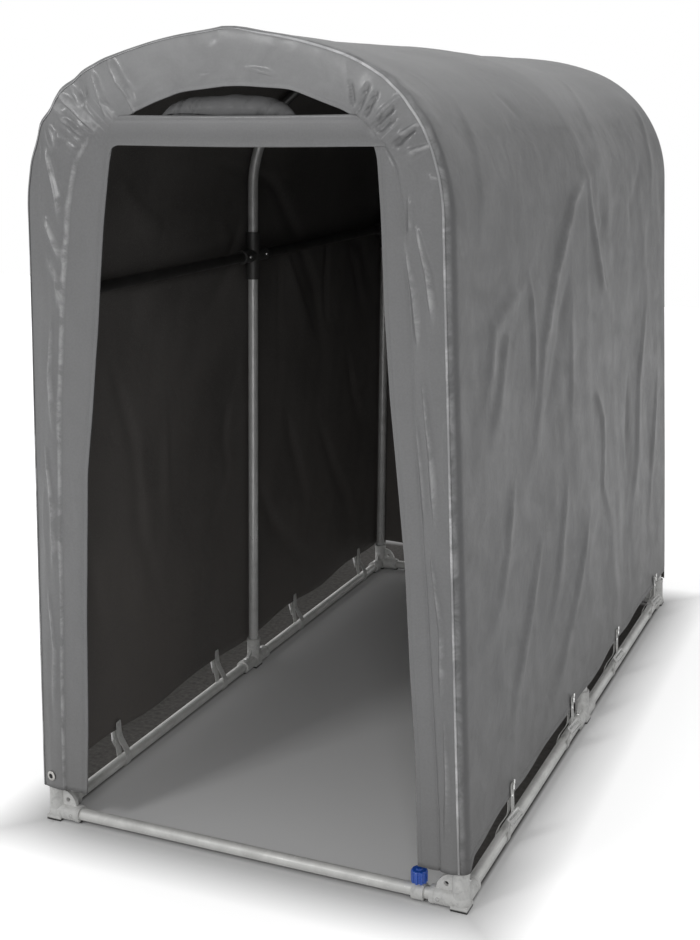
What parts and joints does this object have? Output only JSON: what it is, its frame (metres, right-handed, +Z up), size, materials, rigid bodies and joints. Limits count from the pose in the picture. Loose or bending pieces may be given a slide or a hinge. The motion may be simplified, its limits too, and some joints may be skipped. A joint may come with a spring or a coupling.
{
  "type": "bike shelter",
  "caption": "Arch-roofed bike shelter: a light pipe frame on ground sills carries a grey sheet cover with an open front, a header band, a rolled front curtain and hem straps.",
  "frame": {"origin": "Centre of the shelter on the ground, under the middle of its width and length", "axes": "+X to the right seen from the open front, +Y from the open front to the closed rear, +Z up"},
  "size_m": [0.9428, 1.75, 1.61],
  "materials": {
    "cover": "satin coated cloth",
    "curtain": "satin coated cloth",
    "strap": "woven band",
    "pipe": "satin light grey",
    "joint": "moulded light grey",
    "knob": "glossy blue"
  },
  "bodies": {
    "root": {"clamp_knob": "knob", "corner_joint_front_left": "joint", "corner_joint_front_right": "joint", "corner_joint_rear_left": "joint", "corner_joint_rear_right": "joint", "cover_front_arch": "cover", "cover_front_left": "cover", "cover_front_right": "cover", "cover_left_shoulder": "cover", "cover_left_wall": "cover", "cover_rear_wall": "cover", "cover_right_shoulder": "cover", "cover_right_wall": "cover", "cover_roof": "cover", "crossbar_clamps": "joint", "curtain_roll": "curtain", "front_arch": "pipe", "front_post_left": "pipe", "front_post_right": "pipe", "front_sill": "pipe", "header_band": "cover", "header_crossbar": "pipe", "hem_straps_left": "strap", "hem_straps_right": "strap", "knob_clamp": "joint", "left_rail": "pipe", "left_sill_front": "pipe", "left_sill_rear": "pipe", "middle_arch": "pipe", "middle_joint_left": "joint", "middle_joint_right": "joint", "middle_post_left": "pipe", "middle_post_right": "pipe", "rail_joints_left": "joint", "rail_joints_right": "joint", "rear_arch": "pipe", "rear_post_left": "pipe", "rear_post_right": "pipe", "rear_sill": "pipe", "ridge_joints": "joint", "ridge_pipe": "pipe", "right_rail": "pipe", "right_sill_front": "pipe", "right_sill_rear": "pipe"}
  },
  "joints": []
}
